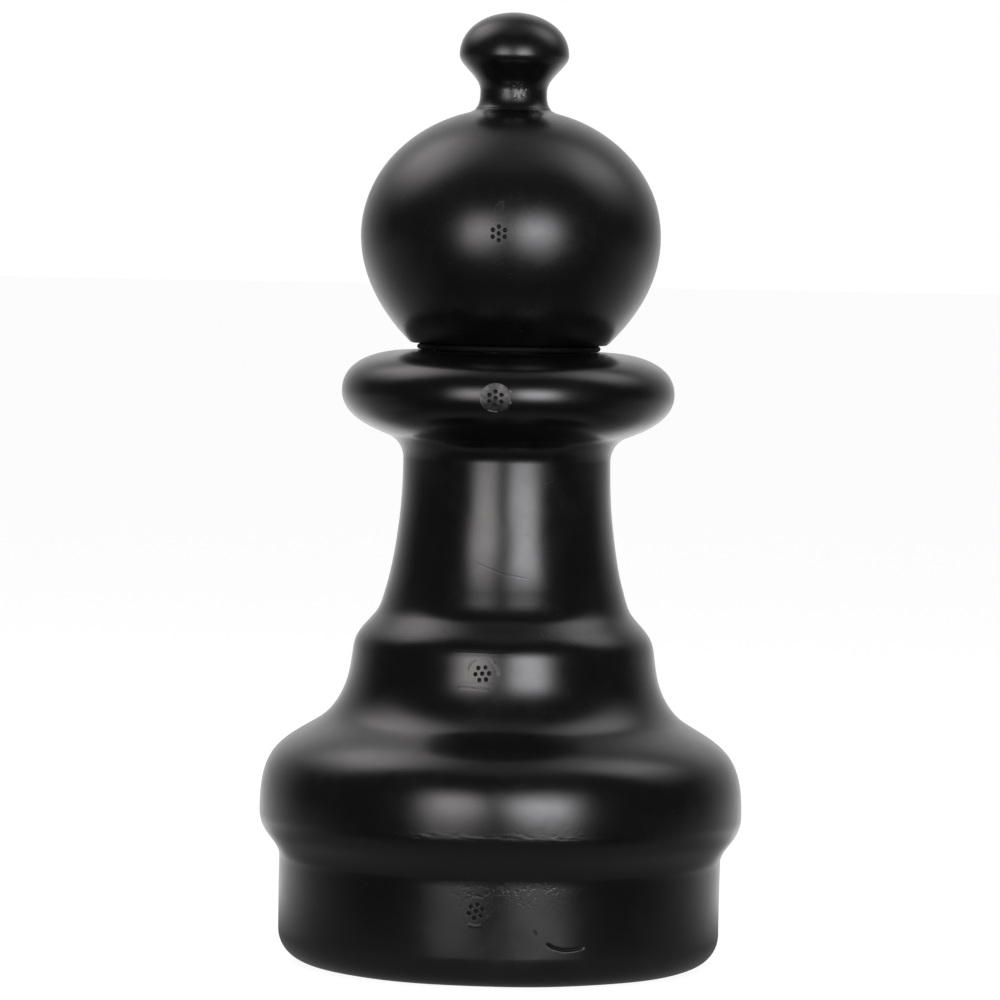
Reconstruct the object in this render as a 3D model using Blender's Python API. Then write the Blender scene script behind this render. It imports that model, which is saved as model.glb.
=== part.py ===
"""Giant black lawn chess piece: a hollow moulded body, a plug-in ball head and a screw-capped filler.

Metres, +Z up. The origin is the centre of the base, at the ground. Every piece is turned about Z.
"""

import math

import bmesh
import bpy
from mathutils import Vector

MM = 0.001

# Driving dimensions, in millimetres.
WALL = 3.0  # moulded wall of the head and the body
GAP = 0.3  # face to face gap between pieces that touch
HEIGHT = 420.0
NECK_LAND_Z = 270.8  # flat land on top of the collar, which the gasket lies on
GASKET_THICK = 2.6
GASKET_R = 42.4
SPIGOT_R = 33.1  # the head's spigot, a push fit in the body's socket
SPIGOT_LENGTH = 36.0
SOCKET_R = 33.5
SOCKET_LENGTH = 38.0
FOOT_R = 97.3
FOOT_FILLET = 13.9
REST_RING_INNER_R = 76.0
RECESS_DEPTH = 19.0  # how far the underside is pushed up inside the foot
RECESS_FILLET = 4.0
RECESS_WALL_LEAN = 3.0
FILLER_R = 15.0  # bore of the filler neck
NECK_R = 18.0  # outside of the filler neck, at the root of its thread
NECK_LIP_Z = 6.1
THREAD_PITCH = 4.0
THREAD_DEPTH = 1.4
THREAD_CLEARANCE = 0.5
THREAD_Z = (7.0, 17.0)
CAP_Z = (2.0, 17.5)
CAP_R = 22.5
CAP_FLOOR = 2.0
CAP_RIB = 0.6
CAP_DISH = 0.7  # how far the middle of the cap's outer face is sunk
LINER_R = 18.8
LINER_THICK = 1.5

TURN_STEPS = 48  # facets round each piece
THREAD_ROWS = 7  # rows of points to one pitch of the thread
INNER_SHARE = 0.5  # the unseen inner wall takes this share of the outline's pieces

HEAD_SEAT_Z = NECK_LAND_Z + GASKET_THICK + 2 * GAP
CAP_BORE_R = NECK_R + THREAD_DEPTH + THREAD_CLEARANCE
LINER_Z = CAP_Z[0] + CAP_FLOOR + GAP

# Outlines run down the outside as (radius, height, heading in degrees, pieces to the next point).
# Heading 0 points outwards, -90 down and -180 inwards.
HEAD_OUTLINE = (
    (0.0, HEIGHT, 0, 5),
    (24.3, 401.3, -90, 3),
    (20.2, 394.8, -132, 2),
    (14.6, 385.2, -90, 2),
    (16.4, 377.5, -51, 2),
    (21.2, 375.2, -15, 7),
    (66.1, 321.5, -90, 7),
    (43.8, 274.6, -136, 0),
)
BODY_OUTLINE = (
    (42.0, NECK_LAND_Z, 0, 5),
    (73.4, 252.6, -90, 5),
    (53.1, 233.5, -160, 3),
    (45.7, 222.8, -90, 2),
    (47.4, 193.0, -83, 2),
    (52.3, 165.7, -77, 3),
    (56.9, 154.2, -51, 2),
    (64.5, 145.0, -60, 3),
    (66.8, 136.6, -84, 2),
    (69.2, 123.8, -72, 3),
    (81.1, 107.1, -33, 2),
    (98.9, 95.0, -46, 4),
    (106.4, 68.4, -90, 3),
    (103.2, 56.4, -128, 2),
    (FOOT_R, 46.0, -90, 1),
    (FOOT_R, FOOT_FILLET, -90, 5),
    (FOOT_R - FOOT_FILLET, 0.0, -180, 1),
    (REST_RING_INNER_R, 0.0, -180, 2),
    (REST_RING_INNER_R - RECESS_FILLET, RECESS_FILLET, -270, 1),
    (REST_RING_INNER_R - RECESS_FILLET - RECESS_WALL_LEAN, RECESS_DEPTH - RECESS_FILLET, -270, 2),
    (REST_RING_INNER_R - 2 * RECESS_FILLET - RECESS_WALL_LEAN, RECESS_DEPTH, -180, 0),
)


def clear_scene():
    for obj in list(bpy.data.objects):
        bpy.data.objects.remove(obj, do_unlink=True)


def plastic(name, colour, roughness):
    """A Principled material with this colour and roughness."""
    material = bpy.data.materials.new(name)
    material.use_nodes = True
    shader = material.node_tree.nodes["Principled BSDF"]
    shader.inputs["Base Color"].default_value = (*colour, 1.0)
    shader.inputs["Roughness"].default_value = roughness
    shader.inputs["Metallic"].default_value = 0.0
    return material


def heading(degrees):
    return Vector((math.cos(math.radians(degrees)), math.sin(math.radians(degrees))))


def outline_points(knots, share=1.0):
    """Points, with their outward normals, along smooth curves through the knots of an outline.

    share is the share of each stretch's pieces to make, down to one piece.
    """
    points = []
    for (r0, z0, turn0, full), (r1, z1, turn1, _) in zip(knots, knots[1:]):
        pieces = max(1, round(full * share))
        start, end = Vector((r0, z0)), Vector((r1, z1))
        swing = math.radians(abs(turn1 - turn0))
        handle = (end - start).length / (3 * math.cos(swing / 4) ** 2)
        near, far = start + heading(turn0) * handle, end - heading(turn1) * handle
        for step in range(pieces):
            t = step / pieces
            s = 1 - t
            at = start * s**3 + near * 3 * s * s * t + far * 3 * s * t * t + end * t**3
            way = (near - start) * s * s + (far - near) * 2 * s * t + (end - far) * t * t
            points.append((at, Vector((-way.y, way.x)).normalized()))
    r, z, turn, _ = knots[-1]
    way = heading(turn)
    points.append((Vector((r, z)), Vector((-way.y, way.x))))
    return points


def inner_wall(knots):
    """The same outline one wall thickness inside, run back the other way."""
    return [at - normal * WALL for at, normal in reversed(outline_points(knots, INNER_SHARE))]


def turned(name, outline, origin_z, material, closed=True):
    """A solid turned about Z from an outline. Its origin is on the axis, origin_z up."""
    bm = bmesh.new()
    ring = [bm.verts.new((r * MM, 0.0, (z - origin_z) * MM)) for r, z in outline]
    edges = [bm.edges.new(pair) for pair in zip(ring, ring[1:])]
    if closed:
        edges.append(bm.edges.new((ring[-1], ring[0])))
    bmesh.ops.spin(
        bm, geom=ring + edges, cent=(0, 0, 0), axis=(0, 0, 1), angle=math.tau, steps=TURN_STEPS
    )
    bmesh.ops.remove_doubles(bm, verts=bm.verts, dist=1e-6)
    bmesh.ops.recalc_face_normals(bm, faces=bm.faces)
    mesh = bpy.data.meshes.new(name)
    bm.to_mesh(mesh)
    bm.free()
    mesh.shade_smooth()
    mesh.set_sharp_from_angle(angle=math.radians(40))
    mesh.materials.append(material)
    obj = bpy.data.objects.new(name, mesh)
    obj.location.z = origin_z * MM
    bpy.context.scene.collection.objects.link(obj)
    return obj


def cut_thread(obj, plain_r, sign):
    """Waves the wall at plain_r into a round right-hand thread, outwards (1) or inwards (-1)."""
    low, high = THREAD_Z
    for vertex in obj.data.vertices:
        x, y = vertex.co.x / MM, vertex.co.y / MM
        z = vertex.co.z / MM + obj.location.z / MM
        radius = math.hypot(x, y)
        if abs(radius - plain_r) > 0.01 or not low < z < high:
            continue
        run_out = min(1.0, (z - low) / THREAD_PITCH * 2, (high - z) / THREAD_PITCH * 2)
        wave = math.cos(math.tau * z / THREAD_PITCH - math.atan2(y, x))
        grown = radius + sign * run_out * THREAD_DEPTH / 2 * (1 + sign * wave)
        vertex.co.x *= grown / radius
        vertex.co.y *= grown / radius


def thread_heights(descending):
    """Heights of the rows of points that carry a thread."""
    low, high = THREAD_Z
    rows = round((high - low) / THREAD_PITCH * THREAD_ROWS)
    heights = [low + (high - low) * row / rows for row in range(rows + 1)]
    return heights[::-1] if descending else heights


def head_shell(material):
    """Ball and finial moulded in one, with an open spigot below the seat."""
    shell = outline_points(HEAD_OUTLINE)
    inside = inner_wall(HEAD_OUTLINE)
    mouth_z = HEAD_SEAT_Z - SPIGOT_LENGTH
    chamfer = 1.5
    inside[-1].x = 0.0
    outline = [tuple(at) for at, _ in shell]
    outline += [
        (43.0, HEAD_SEAT_Z),
        (SPIGOT_R, HEAD_SEAT_Z),
        (SPIGOT_R, mouth_z + 2 * chamfer),
        (SPIGOT_R - chamfer, mouth_z),
        (SPIGOT_R - WALL, mouth_z),
        (SPIGOT_R - WALL, HEAD_SEAT_Z + WALL),
    ]
    outline += [tuple(at) for at in inside]
    return turned("head_shell", outline, HEAD_SEAT_Z, material, closed=False)


def neck_gasket(material):
    """Flat ring with a round outer edge, between the head and the collar."""
    low = NECK_LAND_Z + GAP
    radius = GASKET_THICK / 2
    edge = [
        (GASKET_R - radius + radius * math.sin(a), low + radius - radius * math.cos(a))
        for a in (math.pi * step / 6 for step in range(7))
    ]
    outline = [(SOCKET_R, low), *edge, (SOCKET_R, low + GASKET_THICK)]
    return turned("neck_gasket", outline, low, material)


def body_shell(material):
    """Collar, stem, bulge and foot in one hollow moulding, with a socket above and a filler neck below."""
    shell = outline_points(BODY_OUTLINE)
    inside = inner_wall(BODY_OUTLINE)
    socket_end = NECK_LAND_Z - SOCKET_LENGTH
    lip_edge = 0.6
    outline = [(SOCKET_R, NECK_LAND_Z)]
    outline += [tuple(at) for at, _ in shell]
    outline += [(NECK_R + 1.0, RECESS_DEPTH), (NECK_R, RECESS_DEPTH - 1.0)]
    outline += [(NECK_R, z) for z in thread_heights(descending=True)]
    outline += [
        (NECK_R - lip_edge, NECK_LIP_Z),
        (FILLER_R, NECK_LIP_Z),
        (FILLER_R, RECESS_DEPTH + WALL),
    ]
    outline += [tuple(at) for at in inside]
    outline += [
        (SOCKET_R + WALL, NECK_LAND_Z - WALL),
        (SOCKET_R + WALL, socket_end),
        (SOCKET_R, socket_end),
    ]
    body = turned("body_shell", outline, 0.0, material)
    cut_thread(body, NECK_R, 1)
    return body


def filler_cap(material):
    """Ribbed screw cap over the filler neck, sunk in the recess so that it clears the ground."""
    low, high = CAP_Z
    floor_z = low + CAP_FLOOR
    edge = 1.0
    outline = [(0.0, floor_z), (CAP_BORE_R, floor_z)]
    outline += [(CAP_BORE_R, z) for z in thread_heights(descending=False)]
    outline += [
        (CAP_BORE_R, high),
        (CAP_R, high),
        (CAP_R + CAP_RIB, high - edge),
        (CAP_R + CAP_RIB, low + edge),
        (CAP_R, low),
        (CAP_R - 4.0, low),
        (CAP_R - 5.0, low + CAP_DISH),
        (0.0, low + CAP_DISH),
    ]
    cap = turned("filler_cap", outline, low, material, closed=False)
    cut_thread(cap, CAP_BORE_R, -1)
    for vertex in cap.data.vertices:
        column = round(math.atan2(vertex.co.y, vertex.co.x) * TURN_STEPS / math.tau)
        radius = vertex.co.xy.length
        if radius > (CAP_R + CAP_RIB / 2) * MM and column % 2:
            vertex.co.x *= CAP_R * MM / radius
            vertex.co.y *= CAP_R * MM / radius
    return cap


def cap_liner(material):
    """Foam seal disc that the cap presses on the filler neck's lip."""
    top = LINER_Z + LINER_THICK
    outline = [(0.0, top), (LINER_R, top), (LINER_R, LINER_Z), (0.0, LINER_Z)]
    return turned("cap_liner", outline, LINER_Z, material, closed=False)


clear_scene()
black = plastic("black_hdpe", (0.012, 0.012, 0.013), 0.33)
body_shell(black)
neck_gasket(plastic("black_rubber", (0.010, 0.010, 0.010), 0.6))
head_shell(black)
cap_liner(plastic("grey_foam", (0.35, 0.35, 0.36), 0.9))
filler_cap(plastic("cap_polypropylene", (0.018, 0.018, 0.019), 0.45))
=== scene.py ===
import math

import bmesh
import bpy
import numpy as np
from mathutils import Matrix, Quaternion, Vector


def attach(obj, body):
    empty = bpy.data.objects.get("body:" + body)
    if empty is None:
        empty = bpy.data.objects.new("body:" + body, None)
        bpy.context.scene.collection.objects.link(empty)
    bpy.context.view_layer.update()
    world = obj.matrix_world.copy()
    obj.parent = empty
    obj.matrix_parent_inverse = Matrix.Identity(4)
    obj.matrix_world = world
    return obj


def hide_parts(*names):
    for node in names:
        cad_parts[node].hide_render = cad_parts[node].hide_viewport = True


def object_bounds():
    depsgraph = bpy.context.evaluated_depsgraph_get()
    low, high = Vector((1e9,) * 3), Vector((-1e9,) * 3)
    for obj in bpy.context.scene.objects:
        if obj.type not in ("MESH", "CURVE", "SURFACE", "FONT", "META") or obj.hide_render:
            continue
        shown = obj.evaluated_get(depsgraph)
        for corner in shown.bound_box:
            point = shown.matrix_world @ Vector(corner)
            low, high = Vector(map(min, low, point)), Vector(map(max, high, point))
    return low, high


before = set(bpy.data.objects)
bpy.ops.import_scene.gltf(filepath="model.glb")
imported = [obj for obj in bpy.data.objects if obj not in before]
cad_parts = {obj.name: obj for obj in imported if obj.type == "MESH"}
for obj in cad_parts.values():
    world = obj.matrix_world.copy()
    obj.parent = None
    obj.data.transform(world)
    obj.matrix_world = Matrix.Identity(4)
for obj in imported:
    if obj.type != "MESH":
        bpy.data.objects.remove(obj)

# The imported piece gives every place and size: its axis is Z, it stands on the ground at z = 0,
# and lengths below are in millimetres of a piece 420 mm tall, which one MM turns into metres.
cad_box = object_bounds()
PIECE_TALL = 420.0
MM = (cad_box[1].z - cad_box[0].z) / PIECE_TALL


# ---- Camera -----------------------------------------------------------------------------------
# A long lens set a little above the middle of the piece, so that the collar hides the neck's
# front edge. The camera leans one degree.
LENS, SENSOR_WIDTH = 197.2, 36.0
CAMERA_PLACE = Vector((0.0, -2420, 324)) * MM
CAMERA_AIM = Vector((-2.72, 0, 204.95)) * MM
CAMERA_LEAN = math.radians(1.06)

camera_data = bpy.data.cameras.new("camera")
camera_data.lens = LENS
camera_data.sensor_width = SENSOR_WIDTH
camera_data.clip_end = 100.0
camera = bpy.data.objects.new("camera", camera_data)
bpy.context.scene.collection.objects.link(camera)
camera.location = CAMERA_PLACE
look = (CAMERA_AIM - camera.location).to_track_quat("-Z", "Y")
camera.rotation_mode = "QUATERNION"
camera.rotation_quaternion = look @ Quaternion((0, 0, 1), CAMERA_LEAN)
bpy.context.scene.camera = camera


# ---- Studio -----------------------------------------------------------------------------------
# Two tall soft boxes in front, two panels high at the sides and a white wall behind. The floor is
# pale and catches a faint shadow, and the black plastic mirrors only a dim glow from it.
BOX_CENTRE = Vector((0.0, 0.0, 0.335))
BOX_DISTANCE = 1.6
BOX_REACH = 2.2  # a box's edge is this many times further out than where it is half as bright
SIDE_DROP, TOP_DROP = 3.2, 2.0  # how sharply its light ends at the sides and at top and bottom
WARM, COOL = (1.0, 0.965, 0.955), (0.975, 0.97, 1.0)


def add_node(tree, kind, settings=None, **values):
    """A node with its settings and socket values. A value that is a socket is linked.

    A socket goes by its name, with _ for a space, or by its number: i0, i1, i2.
    """
    node = tree.nodes.new(kind)
    for name, value in (settings or {}).items():
        setattr(node, name, value)
    for name, value in values.items():
        key = int(name[1:]) if name[1:].isdigit() else name.replace("_", " ")
        if isinstance(value, bpy.types.NodeSocket):
            tree.links.new(value, node.inputs[key])
        else:
            node.inputs[key].default_value = value
    return node


def math_node(tree, operation, a, b=0.0, c=0.0):
    """The result of a Math node. MULTIPLY_ADD gives a * b + c."""
    return add_node(tree, "ShaderNodeMath", {"operation": operation}, i0=a, i1=b, i2=c).outputs[0]


def soft_box(name, azimuth, elevation, half_width, half_height, brightness, colour):
    """A lamp aimed at the piece, brightest in its middle. Azimuth 0 is the camera's, + is right.

    The half width and half height, in degrees, are where its light has fallen to half.
    """
    width = 2 * BOX_DISTANCE * math.tan(math.radians(half_width)) * BOX_REACH
    height = 2 * BOX_DISTANCE * math.tan(math.radians(half_height)) * BOX_REACH
    lamp = bpy.data.lights.new(name, "AREA")
    lamp.shape = "RECTANGLE"
    lamp.size, lamp.size_y = width, height
    lamp.energy = brightness * math.pi * width * height
    lamp.color = colour
    lamp.use_nodes = True
    tree = lamp.node_tree
    spot = add_node(tree, "ShaderNodeNewGeometry")
    centred = add_node(
        tree,
        "ShaderNodeMapping",
        Vector=spot.outputs["Parametric"],
        Location=(-BOX_REACH, -BOX_REACH, 0),
        Scale=(2 * BOX_REACH, 2 * BOX_REACH, 0),
    )
    sides = add_node(tree, "ShaderNodeSeparateXYZ", Vector=centred.outputs[0])
    out = []
    for side, drop in (("X", SIDE_DROP), ("Y", TOP_DROP)):
        far = math_node(tree, "ABSOLUTE", sides.outputs[side])
        out.append(math_node(tree, "POWER", far, drop))
    fall = math_node(tree, "POWER", 0.5, math_node(tree, "ADD", *out))
    tree.links.new(fall, tree.nodes["Emission"].inputs["Strength"])
    box = bpy.data.objects.new(name, lamp)
    bpy.context.scene.collection.objects.link(box)
    a, e = math.radians(azimuth), math.radians(elevation)
    way = Vector((math.sin(a) * math.cos(e), -math.cos(a) * math.cos(e), math.sin(e)))
    box.location = BOX_CENTRE + way * BOX_DISTANCE
    box.rotation_mode = "QUATERNION"
    box.rotation_quaternion = (-way).to_track_quat("-Z", "Y")
    box.visible_camera = False


soft_box("front_left_box", -22.0, 3.4, 12.4, 11.6, 5.7, WARM)
soft_box("front_right_box", 19.5, 3.4, 13.7, 11.6, 8.6, COOL)
soft_box("side_left_box", -114, 49, 19, 16.5, 2.6, WARM)
soft_box("side_right_box", 104, 48, 15, 16.5, 2.0, COOL)

studio = bpy.data.worlds.new("studio")
bpy.context.scene.world = studio
studio.use_nodes = True
room = studio.node_tree
room.nodes.clear()
direction = add_node(room, "ShaderNodeTexCoord")
way = add_node(room, "ShaderNodeSeparateXYZ", Vector=direction.outputs["Generated"])
back, up = way.outputs["Y"], way.outputs["Z"]
down = math_node(room, "MULTIPLY", up, -1.0)


def rising(value, low, high, top, smooth=True):
    """0 up to low, rising to top at high."""
    bend = {"interpolation_type": "SMOOTHSTEP" if smooth else "LINEAR"}
    ramp = add_node(room, "ShaderNodeMapRange", bend, Value=value, From_Min=low, From_Max=high)
    ramp.inputs["To Max"].default_value = top
    return ramp.outputs[0]


# The wall brightens towards the back, and above and below the piece. It ends at table height.
WALL_LIGHT, WALL_DROP = 0.80, 1.5
wall = math_node(room, "POWER", rising(back, 0.30, 1.0, 1.0, smooth=False), WALL_DROP)
wall = math_node(room, "MULTIPLY", wall, WALL_LIGHT)
more = math_node(room, "ADD", rising(up, 0.1, 0.65, 0.6), rising(down, 0.05, 0.3, 0.35))
more = math_node(room, "ADD", more, 1.0)
wall = math_node(room, "MULTIPLY", wall, more)
for edge in (rising(up, 0.80, 0.92, 1.0), rising(down, 0.45, 0.60, 1.0)):
    kept = math_node(room, "SUBTRACT", 1.0, edge)
    wall = math_node(room, "MULTIPLY", wall, kept)

# A glow low at the sides, a dim one overhead, and a dark room in front and below.
LOW_LIGHT, TOP_LIGHT, ROOM_LIGHT, DARKEST = 0.27, 0.26, 0.015, 0.045
low_from, low_to = rising(down, -0.06, 0.22, 1.0), rising(down, 0.60, 0.80, 1.0)
low_band = math_node(room, "SUBTRACT", low_from, low_to)
low_glow = math_node(room, "MULTIPLY", low_band, rising(back, -0.4, 0.45, LOW_LIGHT))
glow = math_node(room, "ADD", low_glow, rising(up, 0.84, 0.99, TOP_LIGHT))
dark = math_node(room, "ADD", rising(up, -0.4, 0.0, ROOM_LIGHT), DARKEST)
glow = math_node(room, "ADD", glow, dark)
light = math_node(room, "ADD", wall, glow)

SEEN_LIGHT = 1.0  # what the camera itself sees behind the piece
ray = add_node(room, "ShaderNodeLightPath")
seen = add_node(room, "ShaderNodeMix", i0=ray.outputs["Is Camera Ray"], A=light, B=SEEN_LIGHT)
background = add_node(room, "ShaderNodeBackground", Color=seen.outputs[0])
add_node(room, "ShaderNodeOutputWorld", Surface=background.outputs[0])

FLOOR_HALF, FLOOR_Z = 30.0, -0.2 * MM
FLOOR_GLOW, FLOOR_SHADE = 0.93, 0.20
NEAR_GLOW = 0.19  # what low parts of the piece mirror: the floor beside it, as far as FAR_R
NEAR_R, FAR_R = 0.13, 0.33
corners = [(-1, -1), (1, -1), (1, 1), (-1, 1)]
floor_mesh = bpy.data.meshes.new("pale_floor")
floor_mesh.from_pydata(
    [(x * FLOOR_HALF, y * FLOOR_HALF, FLOOR_Z) for x, y in corners], [], [range(4)]
)
floor = bpy.data.objects.new("pale_floor", floor_mesh)
bpy.context.scene.collection.objects.link(floor)
floor.visible_diffuse = False
floor.visible_shadow = False
floor_paint = bpy.data.materials.new("pale_floor")
floor_paint.use_nodes = True
tree = floor_paint.node_tree
shader = tree.nodes["Principled BSDF"]
shader.inputs["Base Color"].default_value = (FLOOR_SHADE, FLOOR_SHADE, FLOOR_SHADE, 1)
shader.inputs["Roughness"].default_value = 1.0
shader.inputs["Specular IOR Level"].default_value = 0.0
shader.inputs["Emission Color"].default_value = (1, 1, 1, 1)
shader.inputs["Emission Strength"].default_value = FLOOR_GLOW
under = add_node(tree, "ShaderNodeNewGeometry")
spot = under.outputs["Position"]
reach = add_node(tree, "ShaderNodeVectorMath", {"operation": "LENGTH"}, i0=spot)
dim = add_node(
    tree,
    "ShaderNodeMapRange",
    {"interpolation_type": "SMOOTHSTEP"},
    Value=reach.outputs["Value"],
    From_Min=NEAR_R,
    From_Max=FAR_R,
    To_Min=1.0,
    To_Max=0.0,
)
beside = add_node(tree, "ShaderNodeEmission", Strength=NEAR_GLOW)
clear = add_node(tree, "ShaderNodeBsdfTransparent")
ray = add_node(tree, "ShaderNodeLightPath")
mirrored = add_node(
    tree, "ShaderNodeMixShader", i0=dim.outputs[0], i1=clear.outputs[0], i2=beside.outputs[0]
)
to_camera = ray.outputs["Is Camera Ray"]
shown = add_node(
    tree, "ShaderNodeMixShader", i0=to_camera, i1=mirrored.outputs[0], i2=shader.outputs[0]
)
from_below = under.outputs["Backfacing"]
either = add_node(
    tree, "ShaderNodeMixShader", i0=from_below, i1=shown.outputs[0], i2=clear.outputs[0]
)
tree.links.new(either.outputs[0], tree.nodes["Material Output"].inputs["Surface"])
floor_mesh.materials.append(floor_paint)

bpy.context.scene.view_settings.view_transform = "Standard"


# ---- Body moulding ----------------------------------------------------------------------------
# Collar, stem, shoulders, bulge and foot are one hollow blow-moulded shell of black polyethylene.
# It is open above in a socket for the head's spigot, and its underside is pushed up into the foot
# round a threaded filler neck. Round vent plugs in the mould leave a line of marks down the front.
WALL = 3.0
GAP = 0.3  # play between pieces
NECK_LAND_Z = 270.8  # the flat top of the collar
SOCKET_R, SOCKET_LENGTH = 33.5, 38.0
FILLER_R, FILLER_ROOT_R, FILLER_LIP_Z = 15.0, 18.0, 6.1
RECESS_DEPTH = 19.0
THREAD_PITCH, THREAD_DEPTH = 4.0, 1.4
THREAD_LOW, THREAD_HIGH = 7.0, 17.0
CORNER_EASE = 0.5  # how far the moulded corners are rounded
UNSEEN_STEP, UNSEEN_TURN = 12.0, 9.0  # the inner wall has a row for every so much, or each bend
ROW_STEP, ROW_TURN = 2.3, 4.0  # the same for the outside, in millimetres and degrees
COLUMN_TURN = 1.5  # degrees between columns of points
NEAR_PARTING = (0.25, 0.5, 0.9)  # degrees of more columns beside each parting line
EDGE_TURN = math.radians(38)  # unseen corners sharper than this are shaded as edges
FINER_WINDOW = 0.94  # each halving of a window reaches a little less far
SLOPE_TURN, SLOPE_STEP = 0.05, 0.04  # the skin's slope is taken over these degrees and lengths
HAIR = 1e-3  # a distance that counts as nothing, in millimetres

# (radius, height, heading) down the outside. Heading 0 points outwards, -90 down and -180 inwards.
BODY_KNOTS = (
    (42.0, NECK_LAND_Z, 0),
    (73.4, 252.6, -90),
    (53.1, 233.5, -160),
    (45.7, 222.8, -90),
    (47.4, 193.0, -83),
    (52.3, 165.7, -73.5),
    (56.9, 154.2, -51),
    (64.5, 145.0, -60),
    (66.5, 138.8, -82),
    (69.2, 123.8, -72),
    (81.1, 107.1, -33),
    (98.9, 95.0, -46),
    (106.8, 66.4, -90),
    (103.2, 56.4, -128),
    (97.7, 46.0, -90),
    (97.7, 13.9, -90),
    (83.4, 0.0, -180),
    (76.0, 0.0, -180),
    (72.0, 4.0, -270),
    (69.0, 15.0, -270),
    (65.0, 19.0, -180),
)


def heading(degrees):
    return np.array([math.cos(math.radians(degrees)), math.sin(math.radians(degrees))])


def smooth_curve(knots, samples=64):
    """Points and outward normals close together along the smooth curve through the knots."""
    points, normals = [], []
    for (r0, z0, turn0), (r1, z1, turn1) in zip(knots, knots[1:]):
        start, end = np.array([r0, z0]), np.array([r1, z1])
        swing = math.radians(abs(turn1 - turn0))
        handle = np.linalg.norm(end - start) / (3 * math.cos(swing / 4) ** 2)
        near, far = start + heading(turn0) * handle, end - heading(turn1) * handle
        t = np.linspace(0, 1, samples, endpoint=False)[:, None]
        s = 1 - t
        points.append(start * s**3 + near * 3 * s * s * t + far * 3 * s * t * t + end * t**3)
        way = (near - start) * s * s + (far - near) * 2 * s * t + (end - far) * t * t
        normals.append(np.stack([-way[:, 1], way[:, 0]], 1))
    r, z, turn = knots[-1]
    way = heading(turn)
    points.append(np.array([[r, z]]))
    normals.append(np.array([[-way[1], way[0]]]))
    points, normals = np.concatenate(points), np.concatenate(normals)
    return points, normals / np.linalg.norm(normals, axis=1)[:, None]


def eased(corners, ease):
    """A straight-sided run of points with its corners rounded. The two ends stay as they are."""
    run = [np.array(corners[0], float)]
    for before, at, after in zip(corners, corners[1:], corners[2:]):
        before, at, after = np.array(before), np.array(at), np.array(after)
        back, on = before - at, after - at
        cut = min(ease, np.linalg.norm(back) * 0.45, np.linalg.norm(on) * 0.45)
        back, on = back / np.linalg.norm(back) * cut, on / np.linalg.norm(on) * cut
        for t in (0.0, 0.25, 0.5, 0.75, 1.0):
            run.append((at + back) * (1 - t) ** 2 + at * 2 * t * (1 - t) + (at + on) * t * t)
    run.append(np.array(corners[-1], float))
    return np.array(run)


def inner_wall(points, normals):
    """The outline one wall thickness inside, run back the other way, in fewer points."""
    kept = [0]
    for row in range(1, len(points)):
        bend = math.degrees(math.acos(np.clip(normals[kept[-1]] @ normals[row], -1, 1)))
        if bend > UNSEEN_TURN or np.linalg.norm(points[row] - points[kept[-1]]) > UNSEEN_STEP:
            kept.append(row)
    if kept[-1] != len(points) - 1:
        kept.append(len(points) - 1)
    return (points[kept] - normals[kept] * WALL)[::-1]


class TurnedSkin:
    """The skin of a turned moulding, laid out by azimuth and by distance along its outline.

    Azimuth is in degrees from the front, + to the right as the front is seen. Distance runs down
    the outside first, which carries the relief, and then over the unseen side.
    """

    def __init__(self, knots, rest):
        self.points, self.normals = smooth_curve(knots)
        self.outside_rows = len(self.points)
        table = np.concatenate([self.points, rest(self.points, self.normals)])
        steps = np.linalg.norm(np.diff(table, axis=0), axis=1)
        keep = np.concatenate([[True], steps > 1e-6])
        table = table[keep]
        self.outside_rows -= int((~keep[: self.outside_rows]).sum())
        self.r, self.z = table[:, 0], table[:, 1]
        steps = np.linalg.norm(np.diff(table, axis=0), axis=1)
        self.along = np.concatenate([[0], np.cumsum(steps)])
        padding = np.zeros((len(table) - self.outside_rows, 2))
        outward = np.concatenate([self.normals[keep[: len(self.normals)]], padding])
        self.nr, self.nz = outward[:, 0], outward[:, 1]
        self.outside_end = self.along[self.outside_rows - 1]

    def row_places(self, close=()):
        """Distances of the rows of points: even, closer on tight bends, and at every unseen point.

        Each of close is (distance, half height, step) of a stretch with closer rows.
        """
        rows, last = [0.0], 0
        for row in range(1, self.outside_rows):
            bend = self.nr[last] * self.nr[row] + self.nz[last] * self.nz[row]
            bent = math.degrees(math.acos(min(1.0, max(-1.0, bend))))
            wanted = [gap for at, half, gap in close if abs(self.along[row] - at) < half]
            if self.along[row] - self.along[last] >= min([ROW_STEP, *wanted]) or bent >= ROW_TURN:
                rows.append(self.along[row])
                last = row
        if self.outside_end - rows[-1] > ROW_STEP / 3:
            rows.append(self.outside_end)
        return rows + list(self.along[self.outside_rows :])

    def place_at(self, z):
        """Distance along the outline where the outside is at height z."""
        lowest = int(np.argmin(self.z[: self.outside_rows]))
        seen = self.z[: lowest + 1]
        return self.along[int(np.argmin(np.abs(seen - z)))]

    def surface(self, azimuth, along, relief):
        """Points in millimetres at these places, with the relief added along the normals."""
        r = np.interp(along, self.along, self.r)
        z = np.interp(along, self.along, self.z)
        nr = np.interp(along, self.along, self.nr)
        nz = np.interp(along, self.along, self.nz)
        raised = relief(azimuth, along, r, nr) * (along < self.outside_end)
        r, z = r + raised * nr, z + raised * nz
        a = np.radians(azimuth)
        return np.stack([r * np.sin(a), -r * np.cos(a), z], 1)


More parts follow.
